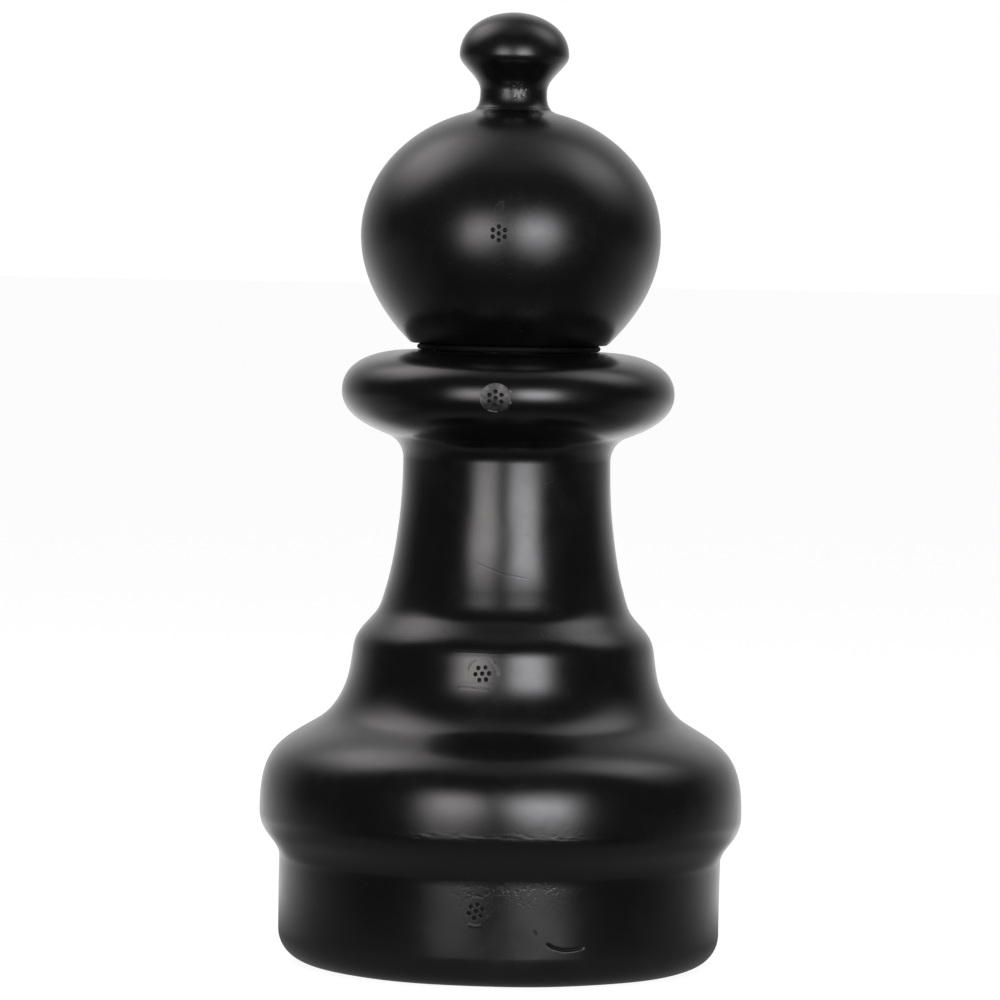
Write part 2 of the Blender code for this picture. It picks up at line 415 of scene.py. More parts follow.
def skin_mesh(name, skin, rows, windows, relief, closed):
    """The moulding as a mesh: an even grid over the skin, made finer in the windows, then turned.

    A window is (azimuth, along, half width, half height, halvings), in degrees and millimetres.
    """
    columns = [-180 + COLUMN_TURN * step for step in range(round(360 / COLUMN_TURN))]
    columns += [side + way * off for side in (-90, 90) for way in (-1, 1) for off in NEAR_PARTING]
    columns.sort()
    bm = bmesh.new()
    grid = []
    for along in rows:
        at_axis = np.interp(along, skin.along, skin.r) < 1e-6
        used = columns[:1] if at_axis else columns
        row = [bm.verts.new((azimuth, along, 0)) for azimuth in used]
        grid.append(row * len(columns) if at_axis else row)
    pairs = list(zip(grid, grid[1:])) + ([(grid[-1], grid[0])] if closed else [])
    for upper, lower in pairs:
        for here in range(len(columns)):
            on = (here + 1) % len(columns)
            around = dict.fromkeys((upper[here], lower[here], lower[on], upper[on]))
            bm.faces.new(list(around))
    for azimuth, along, half_width, half_height, halvings in windows:
        for _ in range(halvings):
            edges = set()
            for face in bm.faces:
                at = face.calc_center_median()
                inside = abs(at.x - azimuth) < half_width and abs(at.y - along) < half_height
                across_back = any(abs(vertex.co.x - at.x) > 90 for vertex in face.verts)
                if inside and not across_back:
                    edges.update(face.edges)
            bmesh.ops.subdivide_edges(
                bm, edges=list(edges), cuts=1, use_grid_fill=True, use_single_edge=True
            )
            half_width *= FINER_WINDOW
            half_height *= FINER_WINDOW
    bm.verts.ensure_lookup_table()
    laid = np.array([vertex.co[:2] for vertex in bm.verts])
    azimuth, along = laid[:, 0], laid[:, 1]
    points = skin.surface(azimuth, along, relief)
    right = skin.surface(azimuth + SLOPE_TURN, along, relief)
    right = right - skin.surface(azimuth - SLOPE_TURN, along, relief)
    low = np.minimum(along + SLOPE_STEP, skin.outside_end - HAIR)
    high = np.maximum(along - SLOPE_STEP, 0)
    down = skin.surface(azimuth, low, relief) - skin.surface(azimuth, high, relief)
    normals = np.cross(down, right)
    length = np.linalg.norm(normals, axis=1)
    normals /= np.maximum(length, 1e-9)[:, None]
    normals[(along > skin.outside_end - HAIR) | (length < 1e-7)] = 0
    for vertex, point in zip(bm.verts, points):
        vertex.co = Vector(point) * MM
    mesh = bpy.data.meshes.new(name)
    bm.to_mesh(mesh)
    bm.free()
    mesh.shade_smooth()
    mesh.set_sharp_from_angle(angle=EDGE_TURN)
    sharp = np.zeros(len(mesh.edges), bool)
    mesh.attributes["sharp_edge"].data.foreach_get("value", sharp)
    ends = np.zeros(len(mesh.edges) * 2, int)
    mesh.edges.foreach_get("vertices", ends)
    outside = along[ends.reshape(-1, 2)].max(1) <= skin.outside_end + HAIR
    mesh.attributes["sharp_edge"].data.foreach_set("value", sharp & ~outside)
    mesh.normals_split_custom_set_from_vertices([tuple(normal) for normal in normals])
    return mesh, azimuth, along


def gentle_step(value, low, high):
    """0 up to low, easing to 1 at high."""
    t = np.clip((value - low) / (high - low), 0, 1)
    return t * t * (3 - 2 * t)


def shrink_waves(azimuth, along, seed, height):
    """Slow unevenness of a cooled moulding's skin, in millimetres."""
    draw = np.random.default_rng(seed)
    total = 0.0
    for _ in range(14):
        lobes = draw.integers(1, 10)
        pitch = draw.uniform(24, 110) * draw.choice([-1, 1])
        phase = draw.uniform(0, math.tau)
        total = total + np.cos(lobes * np.radians(azimuth) + math.tau * along / pitch + phase)
    return total * height


def fine_waves(across, up, seed, pitch):
    """Uneven skin a few millimetres from crest to crest, about -1 to 1."""
    draw = np.random.default_rng(seed)
    total = 0.0
    for _ in range(9):
        way, phase = draw.uniform(0, math.pi), draw.uniform(0, math.tau)
        wave = math.tau / (pitch * draw.uniform(0.6, 1.7))
        total = total + np.cos((across * math.cos(way) + up * math.sin(way)) * wave + phase)
    return total / 4


PARTING_R, PARTING_HALF = 0.10, 0.45  # height and half width of the mould's parting line


def parting_line(azimuth, r):
    """The thin ridge that the two halves of the mould leave down the left and right sides."""
    across = (np.abs(azimuth) - 90) / 180 * math.pi * np.maximum(r, 1)
    return PARTING_R * np.exp(-((across / PARTING_HALF) ** 2)) * (r > 2)


HOLE_RING_R, HOLE_R = 3.0, 0.98  # a vent plug's seven holes: one in the middle and six round it
HOLE_ROUND = 0.85  # how much of its radius the sloping wall takes


def plug_holes(across, up, turn, depth, seed):
    """The prints of a vent plug's seven holes. turn is the angle of one of them, in degrees."""
    draw = np.random.default_rng(seed)
    relief = 0.0
    for hole in range(7):
        out = HOLE_RING_R if hole < 6 else 0.0
        angle = math.radians(turn + 60 * hole)
        x = out * math.cos(angle) + draw.uniform(-0.08, 0.08)
        y = out * math.sin(angle) + draw.uniform(-0.08, 0.08)
        far = np.hypot(across - x, up - y) / (HOLE_R * draw.uniform(0.93, 1.05))
        relief = relief - depth * draw.uniform(0.8, 1.1) * gentle_step(1 - far, 0, HOLE_ROUND)
    return relief


def arc_mark(across, up, radius, start, end, half_width, height):
    """A ridge, or a groove where height is below 0, along part of a circle round the plug."""
    far = np.hypot(across, up)
    angle = np.degrees(np.arctan2(up, across)) % 360
    middle, half = (start + end) / 2 % 360, (end - start) / 2
    off = np.abs((angle - middle + 180) % 360 - 180)
    fade = gentle_step(half - off, 0, 12)
    return height * fade * np.exp(-(((far - radius) / half_width) ** 2))


def line_mark(across, up, bends, half_width, height):
    """A ridge or groove along a bent line of (across, up) places. It fades at its ends."""
    mark = 0.0
    lengths = [math.dist(a, b) for a, b in zip(bends, bends[1:])]
    total, gone = sum(lengths), 0.0
    for (x0, y0), (x1, y1), length in zip(bends, bends[1:], lengths):
        t = np.clip(((across - x0) * (x1 - x0) + (up - y0) * (y1 - y0)) / length**2, 0, 1)
        far = np.hypot(across - x0 - t * (x1 - x0), up - y0 - t * (y1 - y0))
        place = (gone + t * length) / total
        fade = gentle_step(place, 0, 0.12) * gentle_step(1 - place, 0, 0.12)
        mark = np.maximum(mark, fade * np.exp(-((far / half_width) ** 2)))
        gone += length
    return height * mark


def body_rest(points, normals):
    """The unseen side of the body's outline: filler neck, inner wall and socket."""
    root = FILLER_ROOT_R
    neck = eased(
        [
            (points[-1][0], RECESS_DEPTH),
            (root, RECESS_DEPTH),
            (root, THREAD_HIGH + 0.3),
        ],
        1.0,
    )
    threads = [(root, z) for z in np.arange(THREAD_HIGH, THREAD_LOW - 0.01, -0.25)]
    lip = eased(
        [
            (root, THREAD_LOW - 0.2),
            (root, FILLER_LIP_Z),
            (FILLER_R, FILLER_LIP_Z),
            (FILLER_R, RECESS_DEPTH + WALL),
        ],
        CORNER_EASE,
    )
    inside = inner_wall(points, normals)
    socket = eased(
        [
            (SOCKET_R + WALL, NECK_LAND_Z - WALL),
            (SOCKET_R + WALL, NECK_LAND_Z - SOCKET_LENGTH),
            (SOCKET_R, NECK_LAND_Z - SOCKET_LENGTH),
            (SOCKET_R, NECK_LAND_Z),
            (BODY_KNOTS[0][0], NECK_LAND_Z),
        ],
        CORNER_EASE,
    )
    return np.concatenate([neck, threads, lip, inside, socket[:-1]])


body_skin = TurnedSkin(BODY_KNOTS, body_rest)
# (azimuth, height, turn of the holes) of the vent plugs
COLLAR_PLUG = (-4.3, 252.3, 30)
SHOULDER_PLUG = (-7.6, 133.0, 5.5)
FOOT_PLUG = (-5.7, 34.0, 18)
collar_at, shoulder_at, foot_at = (
    body_skin.place_at(z) for _, z, _ in (COLLAR_PLUG, SHOULDER_PLUG, FOOT_PLUG)
)
bulge_at = body_skin.place_at(66.4)
stem_scratch_at = body_skin.place_at(176.0)
scuff_at = body_skin.place_at(18.5)

CRESCENT = [(20.8, 2.2), (24.0, 0.2), (28.4, -0.9), (33.0, -0.8), (38.2, 0.3)]  # scuff on the foot

# The collar's plug was filed flat and let in flush, so it leaves a shallow facet in the round nose.
FACET_R = 6.7
round_edge = np.radians(np.arange(0, 360, 2))
edge_r = np.interp(collar_at - FACET_R * np.sin(round_edge), body_skin.along, body_skin.r)
collar_tip = np.interp(collar_at, body_skin.along, body_skin.r)
edge_ahead = edge_r * np.cos(FACET_R * np.cos(round_edge) / edge_r) - collar_tip


def near(azimuth, along, r, place_azimuth, place_along):
    """Millimetres to the right of and above a place on the skin."""
    return np.radians(azimuth - place_azimuth) * r, place_along - along


def body_relief(azimuth, along, r, nr):
    """Millimetres that the body's marks stand above its skin. Below 0 they are sunk."""
    raised = shrink_waves(azimuth, along, 11, 0.014) + parting_line(azimuth, r)

    across, up = near(azimuth, along, r, COLLAR_PLUG[0], collar_at)
    turned_off = np.cos(np.radians(azimuth - COLLAR_PLUG[0]))
    out = np.hypot(across, up) / FACET_R
    edge = np.interp(np.arctan2(up, across) % math.tau, round_edge, edge_ahead, period=math.tau)
    flat = edge_ahead.mean() + (edge - edge_ahead.mean()) * out**2
    to_flat = (flat - (r * turned_off - collar_tip)) / np.maximum(nr * turned_off, 0.3)
    inside = gentle_step(1 - out, 0, 0.03)
    raised = raised + inside * np.clip(to_flat, -3, 3)
    raised = raised + gentle_step(1 - out, 0, 0.25) * 0.032 * fine_waves(across, up, 5, 4.2)
    raised = raised + plug_holes(across, up, COLLAR_PLUG[2], 1.1, 1)
    raised = raised + arc_mark(across, up, 6.3, 235, 285, 0.35, 0.20)
    raised = raised + arc_mark(across, up, 6.9, 305, 350, 0.4, 0.22)
    raised = raised + arc_mark(across, up, 6.9, 20, 62, 0.4, 0.12)

    across, up = near(azimuth, along, r, SHOULDER_PLUG[0], shoulder_at)
    raised = raised + plug_holes(across, up, SHOULDER_PLUG[2], 1.15, 2)
    raised = raised + arc_mark(across, up, 6.7, 0, 359.9, 0.4, -0.012)
    raised = raised + arc_mark(across, up, 6.7, 108, 175, 0.3, -0.05)
    raised = raised + arc_mark(across, up, 6.9, -15, 60, 0.5, 0.05)
    for bends, half_width, height in (
        ([(-10, -4.0), (-5, -4.6), (0, -4.2), (6, -4.9)], 0.6, 0.018),
        ([(-11, -7.4), (-9.5, -6.2), (-3, -6.6), (4, -6.9)], 0.6, 0.028),
        ([(-16, 8.6), (-6, 8.9), (6, 8.6), (14, 9.0)], 0.35, 0.022),
    ):
        raised = raised + line_mark(across, up, bends, half_width, height)

    across, up = near(azimuth, along, r, FOOT_PLUG[0], foot_at)
    raised = raised + plug_holes(across, up, FOOT_PLUG[2], 1.1, 3)
    raised = raised + arc_mark(across, up, 6.7, 0, 359.9, 0.4, -0.01)
    raised = raised + arc_mark(across, up, 6.6, 60, 100, 0.4, -0.06)
    raised = raised + arc_mark(across, up, 6.4, 235, 300, 0.6, 0.06)
    raised = raised + arc_mark(across, up, 6.0, 318, 352, 0.6, 0.04)

    across, up = near(azimuth, along, r, 0.0, bulge_at)
    band = gentle_step(across, -48, -36) * gentle_step(-across, -44, -32)
    line = np.exp(-(((up - 0.7 * np.sin(across / 5.0)) / 1.1) ** 2))
    raised = raised + band * line * 0.035 * (0.3 + fine_waves(across, up * 2.5, 8, 6.0))
    raised = raised + 0.03 * fine_waves(across, up, 9, 5.0) * np.exp(
        -(((across - 19) / 8) ** 2) - ((up - 9) / 4) ** 2
    )

    across, up = near(azimuth, along, r, 0.0, stem_scratch_at)
    raised = raised + line_mark(across, up, [(-13.7, 4.6), (-2.2, -0.2), (10.6, -2.7)], 0.22, 0.035)

    across, up = near(azimuth, along, r, 0.0, scuff_at)
    raised = raised + line_mark(across, up, CRESCENT, 0.5, -0.9)
    return raised


windows = [
    (COLLAR_PLUG[0], collar_at, 8.5, 9.5, 3),
    (COLLAR_PLUG[0], collar_at, 3.4, 4.4, 1),
    (SHOULDER_PLUG[0], shoulder_at, 10.5, 10.5, 3),
    (SHOULDER_PLUG[0], shoulder_at, 3.6, 4.4, 1),
    (FOOT_PLUG[0], foot_at, 5.8, 9.0, 3),
    (FOOT_PLUG[0], foot_at, 2.6, 4.4, 1),
    (0.0, bulge_at, 26.0, 4.0, 2),
    (-2.0, stem_scratch_at, 16.5, 5.5, 3),
    (16.2, scuff_at - 3.0, 8.5, 8.0, 2),
    (17.3, scuff_at - 0.65, 5.6, 2.6, 2),
]
body_mesh, azimuth, along = skin_mesh(
    "body_moulding", body_skin, body_skin.row_places(), windows, body_relief, closed=True
)


def cut_thread(mesh, plain_r, sign):
    """Waves the wall at plain_r into a round right-hand thread, outwards (1) or inwards (-1)."""
    for vertex in mesh.vertices:
        x, y, z = vertex.co / MM
        radius = math.hypot(x, y)
        if abs(radius - plain_r) > 0.01 or not THREAD_LOW < z < THREAD_HIGH:
            continue
        run_out = min(1.0, *(2 * far / THREAD_PITCH for far in (z - THREAD_LOW, THREAD_HIGH - z)))
        wave = math.cos(math.tau * z / THREAD_PITCH - math.atan2(y, x))
        grown = radius + sign * run_out * THREAD_DEPTH / 2 * (1 + sign * wave)
        vertex.co.x *= grown / radius
        vertex.co.y *= grown / radius


cut_thread(body_mesh, FILLER_ROOT_R, 1)


def node_group(name, inputs, outputs):
    """An empty node group, with its input and output nodes. A socket is (name, type, value)."""
    group = bpy.data.node_groups.new(name, "ShaderNodeTree")
    for socket, kind, value in inputs:
        made = group.interface.new_socket(name=socket, in_out="INPUT", socket_type=kind)
        if value is not None:
            made.default_value = value
    for socket, kind in outputs:
        group.interface.new_socket(name=socket, in_out="OUTPUT", socket_type=kind)
    return group, group.nodes.new("NodeGroupInput"), group.nodes.new("NodeGroupOutput")


def noise(tree, place, scale, detail, roughness=0.5):
    """Cloudy noise of about so many clouds to a millimetre."""
    values = {"Vector": place, "Scale": scale, "Detail": detail, "Roughness": roughness}
    return add_node(tree, "ShaderNodeTexNoise", **values).outputs["Fac"]


def between(tree, value, low, high, start=0.0, end=1.0):
    """start up to low, and end from high on."""
    ramp = add_node(tree, "ShaderNodeMapRange", Value=value, From_Min=low, From_Max=high)
    ramp.inputs["To Min"].default_value, ramp.inputs["To Max"].default_value = start, end
    return ramp.outputs[0]


def make_moulded_skin():
    """Fine orange peel and slow unevenness of moulded polyethylene. Lengths are in millimetres."""
    group, given, made = node_group(
        "moulded_skin",
        [
            ("Place", "NodeSocketVector", None),
            ("Peel", "NodeSocketFloat", 1.0),
            ("Pitting", "NodeSocketFloat", 0.0),
        ],
        [("Height", "NodeSocketFloat"), ("Mottle", "NodeSocketFloat")],
    )
    place = given.outputs["Place"]
    fine = noise(group, place, 0.95, 3.0, 0.6)
    slow = noise(group, place, 0.11, 2.0, 0.5)
    pits = between(group, noise(group, place, 0.55, 2.0, 0.6), 0.54, 0.66)
    peel = math_node(group, "MULTIPLY", fine, given.outputs["Peel"])
    rough = math_node(group, "MULTIPLY", pits, given.outputs["Pitting"])
    height = math_node(group, "SUBTRACT", peel, rough)
    group.links.new(height, made.inputs["Height"])
    group.links.new(slow, made.inputs["Mottle"])
    return group


def make_handling():
    """Masks of what a lawn game piece picks up: fine scratches, rubbed patches and dust specks."""
    group, given, made = node_group(
        "handling",
        [("Place", "NodeSocketVector", None), ("Scratch amount", "NodeSocketFloat", 0.5)],
        [(mask, "NodeSocketFloat") for mask in ("Scratches", "Rubbed", "Dust")],
    )
    place = given.outputs["Place"]
    masks = []
    for turn, size in ((0.35, 0.16), (-0.9, 0.12), (1.4, 0.2)):
        drawn_out = {"Rotation": (turn, 0.5 * turn, turn), "Scale": (0.1, 1, 1)}
        turned = add_node(group, "ShaderNodeMapping", Vector=place, **drawn_out)
        lines = add_node(
            group,
            "ShaderNodeTexVoronoi",
            {"feature": "DISTANCE_TO_EDGE"},
            Vector=turned.outputs[0],
            Scale=size,
            Randomness=1.0,
        )
        hair = between(group, lines.outputs["Distance"], 0.0, 0.008, 1.0, 0.0)
        kept = between(group, noise(group, place, 0.07 + size / 2, 1.0), 0.58, 0.68)
        masks.append(math_node(group, "MULTIPLY", hair, kept))
    scratches = math_node(group, "MAXIMUM", masks[0], masks[1])
    scratches = math_node(group, "MAXIMUM", scratches, masks[2])
    scratches = math_node(group, "MULTIPLY", scratches, given.outputs["Scratch amount"])
    rubbed = between(group, noise(group, place, 0.035, 5.0, 0.65), 0.52, 0.72)
    cells = add_node(group, "ShaderNodeTexVoronoi", Vector=place, Scale=0.16, Randomness=1.0)
    speck = between(group, cells.outputs["Distance"], 0.03, 0.055, 1.0, 0.0)
    chosen = add_node(group, "ShaderNodeSeparateColor", Color=cells.outputs["Color"])
    few = between(group, chosen.outputs[0], 0.68, 0.72)
    group.links.new(scratches, made.inputs["Scratches"])
    group.links.new(rubbed, made.inputs["Rubbed"])
    group.links.new(math_node(group, "MULTIPLY", speck, few), made.inputs["Dust"])
    return group


moulded_skin = make_moulded_skin()
handling = make_handling()

MOTTLED_BY, SCRATCHED_BY = 0.08, 0.15  # what uneven skin and a scratch add to the roughness
MATT_ROUGHNESS = 0.6  # what a fully dulled spot adds
RUBBED_DUST, SCRATCHED_DUST = 0.10, 0.2
SCRATCH_DEPTH = 0.02


def place_in_mm(tree):
    """Where on the piece, in millimetres."""
    where = add_node(tree, "ShaderNodeTexCoord").outputs["Object"]
    return add_node(tree, "ShaderNodeMapping", Vector=where, Scale=[1 / MM] * 3).outputs[0]


def plastic(name, colour, dust_colour, roughness, rubbed_by, peel, scratches, **more):
    """Moulded plastic with its skin, its handling marks and its dust.

    more may give pitting, for a mesh painted with "pitting" and "matt", ior and shine.
    """
    material = bpy.data.materials.new(name)
    material.use_nodes = True
    tree = material.node_tree
    shader = tree.nodes["Principled BSDF"]
    shader.inputs["IOR"].default_value = more.get("ior", 1.54)
    shader.inputs["Specular IOR Level"].default_value = more.get("shine", 0.5)
    place = place_in_mm(tree)
    skin = add_node(tree, "ShaderNodeGroup", {"node_tree": moulded_skin}, Place=place, Peel=peel)
    marks = add_node(tree, "ShaderNodeGroup", {"node_tree": handling}, Place=place)
    marks.inputs["Scratch amount"].default_value = scratches
    scratched, rubbed = marks.outputs["Scratches"], marks.outputs["Rubbed"]

    dusty = math_node(tree, "MULTIPLY", rubbed, RUBBED_DUST)
    light = math_node(tree, "MULTIPLY", scratched, SCRATCHED_DUST)
    dusty = math_node(tree, "ADD", dusty, light)
    dusty = math_node(tree, "ADD", dusty, marks.outputs["Dust"])
    dusty.node.use_clamp = True
    tint = {"i0": dusty, "i6": (*colour, 1), "i7": (*dust_colour, 1)}
    mixed = add_node(tree, "ShaderNodeMix", {"data_type": "RGBA"}, **tint)
    tree.links.new(mixed.outputs[2], shader.inputs["Base Color"])

    smooth = roughness - MOTTLED_BY / 2
    rough = math_node(tree, "MULTIPLY_ADD", skin.outputs["Mottle"], MOTTLED_BY, smooth)
    rough = math_node(tree, "MULTIPLY_ADD", rubbed, rubbed_by, rough)
    rough = math_node(tree, "MULTIPLY_ADD", scratched, SCRATCHED_BY, rough)
    if "pitting" in more:
        painted = add_node(tree, "ShaderNodeAttribute", {"attribute_name": "pitting"})
        pitting = math_node(tree, "MULTIPLY", painted.outputs["Fac"], more["pitting"])
        tree.links.new(pitting, skin.inputs["Pitting"])
        matt = add_node(tree, "ShaderNodeAttribute", {"attribute_name": "matt"})
        rough = math_node(tree, "MULTIPLY_ADD", matt.outputs["Fac"], MATT_ROUGHNESS, rough)
    tree.links.new(rough, shader.inputs["Roughness"])

    height = math_node(tree, "MULTIPLY_ADD", scratched, -SCRATCH_DEPTH, skin.outputs["Height"])
    bump = add_node(tree, "ShaderNodeBump", Height=height, Distance=MM, Strength=1.0)
    tree.links.new(bump.outputs[0], shader.inputs["Normal"])
    return material


# A rubbed, slightly dusty black with a satin gloss.
BLACK, BLACK_DUSTED = (0.0030, 0.0028, 0.0028), (0.030, 0.029, 0.028)
black_hdpe = plastic("black_hdpe", BLACK, BLACK_DUSTED, 0.22, 0.05, 0.010, 0.3, pitting=0.055)


def paint(mesh, name, amount):
    """Stores for the material where the skin is pitted or matt, from 0 to 1."""
    amount = np.clip(amount, 0, 1).astype(np.float32)
    mesh.attributes.new(name, "FLOAT", "POINT").data.foreach_set("value", amount)


def place_piece(name, mesh, material, node, body):
    """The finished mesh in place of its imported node, riding on the node's body."""
    mesh.materials.append(material)
    piece = bpy.data.objects.new(name, mesh)
    bpy.context.scene.collection.objects.link(piece)
    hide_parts(node)
    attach(piece, body)


r = np.interp(along, body_skin.along, body_skin.r)
chamfer_at = body_skin.place_at(149.0)
on_chamfer = np.exp(-(((along - chamfer_at) / 3.5) ** 2)) * (np.abs(azimuth) < 70)
across, up = near(azimuth, along, r, 0.0, body_skin.place_at(43.0))
on_foot = 0.7 * np.exp(-(((across - 6) / 26) ** 4) - ((up / 6) ** 2))
across, up = near(azimuth, along, r, 0.0, bulge_at)
on_bulge = np.exp(-((up / 3) ** 2)) * (np.abs(azimuth) < 28)
paint(body_mesh, "pitting", 0.7 * on_chamfer + on_foot + 0.4 * on_bulge)
across, up = near(azimuth, along, r, 0.0, scuff_at)
spot = ((across - 16.0 + 0.5 * (up - 7.0)) / 1.1) ** 2 + ((up - 7.0) / 1.5) ** 2
spot = spot * (1 + 0.3 * fine_waves(across, up, 12, 1.8))
scuffed = line_mark(across, up, CRESCENT, 0.6, 0.6) + 1.2 * gentle_step(1 - spot, 0, 0.4)
across, up = near(azimuth, along, r, COLLAR_PLUG[0], collar_at)
mottled = 0.14 + 0.10 * fine_waves(across, up, 14, 2.6) + 0.06 * fine_waves(across, up, 15, 1.2)
on_facet = gentle_step(1 - np.hypot(across, up) / FACET_R, -0.02, 0.06)
paint(body_mesh, "matt", scuffed + on_facet * mottled)
place_piece("body_moulding", body_mesh, black_hdpe, "body_shell", "stand")


# ---- Neck gasket ------------------------------------------------------------------------------
# A flat black rubber ring that stays on the head's spigot and cushions the joint. It was cut from
# moulded strip, so scraps of flash stand out at its edge where the mould's halves met.
GASKET_THICK, GASKET_R = 2.6, 42.4
EDGE_STEPS = 10
EDGE_SET_BACK = 2.4  # the cut edge stands this far back from the collar's
# (azimuth, half width in degrees, height)
FLASH = ((-91, 1.6, 3.2), (-87.5, 1.2, 2.9), (-95, 1.3, 2.7), (93, 2.2, 2.9))
NICK = (87, 1.8, -0.6)
gasket_low = NECK_LAND_Z + GAP


def turned_mesh(name, outline, columns, shape, ring=False):
    """A closed solid turned from an outline, with each point moved by shape(azimuth, r, z).

    A ring's outline runs round its section. Any other outline starts and ends on the axis.
    """
    bm = bmesh.new()
    rows = []
    for r, z in outline:
        row = []
        for step in range(1 if r == 0 else columns):
            azimuth = step * 360 / columns - 180
            at_r, at_z = shape(azimuth, r, z)
            a = math.radians(azimuth)
            row.append(bm.verts.new(Vector((at_r * math.sin(a), -at_r * math.cos(a), at_z)) * MM))
        rows.append(row * (columns if r == 0 else 1))
    for upper, lower in zip(rows, rows[1:] + rows[:1] if ring else rows[1:]):
        for here in range(columns):
            on = (here + 1) % columns
            around = dict.fromkeys((upper[here], lower[here], lower[on], upper[on]))
            bm.faces.new(list(around))
    bmesh.ops.recalc_face_normals(bm, faces=bm.faces)
    mesh = bpy.data.meshes.new(name)
    bm.to_mesh(mesh)
    bm.free()
    mesh.shade_smooth()
    mesh.set_sharp_from_angle(angle=EDGE_TURN)
    return mesh


def gasket_shape(azimuth, r, z):
    """Flash lumps at the left and right, a nick beside the right one, and a ripple."""
    if r < GASKET_R - 3:
        return r, z
    proud = 0.0
    for place, width, height in FLASH + (NICK,):
        proud += height * math.exp(-(((azimuth - place) / width) ** 2))
    ripple = 0.06 * math.sin(math.radians(azimuth) * 23) * math.sin(math.radians(azimuth) * 7)
    out = (r - GASKET_R + 3) / 3
    return r + (proud + ripple) * out, z


gasket_outline = [
    (SOCKET_R + 0.3, gasket_low + GASKET_THICK),
    (SOCKET_R, gasket_low + GASKET_THICK - 0.3),
    (SOCKET_R, gasket_low + 0.3),
    (SOCKET_R + 0.3, gasket_low),
]
for step in range(EDGE_STEPS + 1):
    a = math.pi * step / EDGE_STEPS
    half = GASKET_THICK / 2
    edge_r = GASKET_R - EDGE_SET_BACK - half * 0.6 * (1 - math.sin(a))
    gasket_outline.append((edge_r, gasket_low + half - half * math.cos(a)))
gasket_mesh = turned_mesh("neck_ring_gasket", gasket_outline[::-1], 540, gasket_shape, ring=True)
black_rubber = plastic(
    "black_rubber", BLACK, BLACK_DUSTED, 0.65, 0.08, 0.02, 0.2, ior=1.50, shine=0.12
)
place_piece(
    "neck_ring_gasket", gasket_mesh, black_rubber, "neck_gasket", "neck_ring"
)


# ---- Head moulding ----------------------------------------------------------------------------
# Ball, waist and knob are a second hollow blow-moulded shell in the same black polyethylene. Its
# open spigot pushes into the collar. The mould left plug marks in front, and a crease at the waist.
HEAD_SEAT_Z = NECK_LAND_Z + GASKET_THICK + 2 * GAP
SPIGOT_R, SPIGOT_LENGTH, SPIGOT_CHAMFER = 33.1, 36.0, 1.5
HEAD_KNOTS = (
    (0.0, 420.0, 0),
    (24.0, 401.3, -90),
    (20.2, 394.8, -132),
    (14.6, 385.2, -90),
    (16.4, 377.5, -51),
    (21.2, 375.2, -15),
    (66.1, 321.5, -90),
    (43.8, 274.6, -136),
)


def head_rest(points, normals):
    """The unseen side of the head's outline: seat, spigot and inner wall up to the axis."""
    mouth_z = HEAD_SEAT_Z - SPIGOT_LENGTH
    spigot = eased(
        [
            (points[-1][0], points[-1][1]),
            (43.0, HEAD_SEAT_Z),
            (SPIGOT_R, HEAD_SEAT_Z),
            (SPIGOT_R, mouth_z + 2 * SPIGOT_CHAMFER),
            (SPIGOT_R - SPIGOT_CHAMFER, mouth_z),
            (SPIGOT_R - WALL, mouth_z),
            (SPIGOT_R - WALL, HEAD_SEAT_Z + WALL),
        ],
        CORNER_EASE,
    )
    inside = inner_wall(points, normals)
    inside[-1][0] = 0.0
    return np.concatenate([spigot[1:], inside])


head_skin = TurnedSkin(HEAD_KNOTS, head_rest)
BALL_PLUG = (-4.6, 322.7, 30)
WAIST_PLUG = (8.0, 385.5, 10)
CREASE_Z = 377.9
ball_at, waist_at = head_skin.place_at(BALL_PLUG[1]), head_skin.place_at(WAIST_PLUG[1])
crease_at = head_skin.place_at(CREASE_Z)
pit_at = head_skin.place_at(334.0)


def head_relief(azimuth, along, r, nr):
    """The same for the head, whose outline's slope plays no part."""
    raised = shrink_waves(azimuth, along, 21, 0.012) + parting_line(azimuth, r)
    raised = raised * gentle_step(r, 3, 12)

    across, up = near(azimuth, along, r, BALL_PLUG[0], ball_at)
    raised = raised + plug_holes(across, up, BALL_PLUG[2], 1.1, 4)
    raised = raised + arc_mark(across, up, 6.4, 0, 359.9, 0.35, -0.012)
    raised = raised + arc_mark(across, up, 6.5, 200, 260, 0.35, 0.02)

    across, up = near(azimuth, along, r, BALL_PLUG[0], pit_at)
    ragged = 1 + 0.3 * fine_waves(across, up, 31, 1.8)
    inside = 1 - (((across - 0.35 * up) / 1.3) ** 2 + (up / 2.1) ** 2) * ragged
    raised = raised - 0.04 * gentle_step(inside, 0, 1)

    across, up = near(azimuth, along, r, WAIST_PLUG[0], waist_at)
    raised = raised + plug_holes(across, up, WAIST_PLUG[2], 0.09, 6)
    swirls = 0.018 * fine_waves(across, up, 33, 3.0)
    raised = raised + swirls * np.exp(-((across / 7) ** 2) - ((up / 5) ** 2))

    up = crease_at - along
    crease = 0.10 * np.exp(-((up / 0.45) ** 2)) - 0.08 * np.exp(-(((up + 1.1) / 0.5) ** 2))
    return raised + crease


